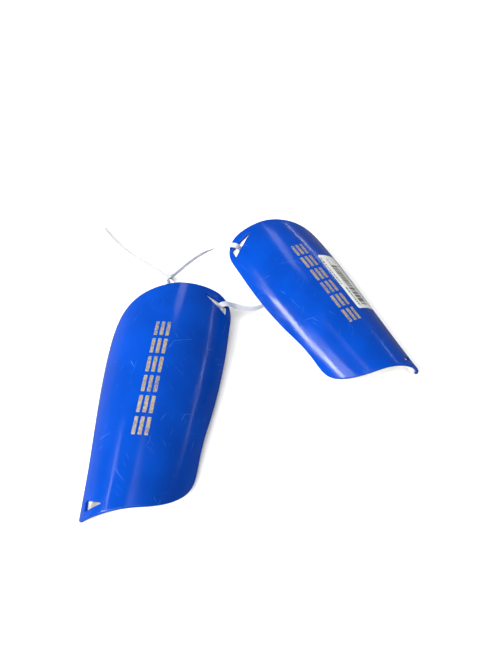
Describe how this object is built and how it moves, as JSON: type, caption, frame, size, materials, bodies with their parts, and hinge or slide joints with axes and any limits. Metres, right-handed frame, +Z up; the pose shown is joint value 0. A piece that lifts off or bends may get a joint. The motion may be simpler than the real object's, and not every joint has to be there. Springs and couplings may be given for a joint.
{
  "type": "pair of shin guards",
  "caption": "Pair of curved hard-shell slip-in shin guards, left and right, with foam liners and strap slots, tied together by one cable tie.",
  "frame": {"origin": "centre of the pair's footprint, on the table that it lies on", "axes": "+Z up from the table; +Y towards the knee end of the left guard, within five degrees; +X from the left guard to the right one"},
  "size_m": [0.3164, 0.321, 0.0435],
  "materials": {
    "shell": "glossy moulded, lightly scratched",
    "liner": "closed-cell foam, matt",
    "print": "screen-printed ink, satin, slightly worn",
    "label": "coated label paper",
    "nylon": "natural nylon, slightly translucent"
  },
  "bodies": {
    "left_guard": {"left_shell": "shell", "left_liner": "liner", "left_print": "print"},
    "cable_tie": {"tie_head": "nylon", "tie_strap": "nylon"},
    "right_guard": {"right_shell": "shell", "right_liner": "liner", "right_print": "print", "price_label": "label"}
  },
  "joints": [
    {"name": "left_swing", "type": "hinge", "parent": "left_guard", "child": "cable_tie", "pos_m": [-0.034, 0.0415, 0.02], "axis": [0, 0, 1], "range_deg": [-12, 12]},
    {"name": "right_swing", "type": "hinge", "parent": "cable_tie", "child": "right_guard", "pos_m": [-0.024, 0.1085, 0.03], "axis": [0, 0, 1], "range_deg": [-12, 12]}
  ]
}
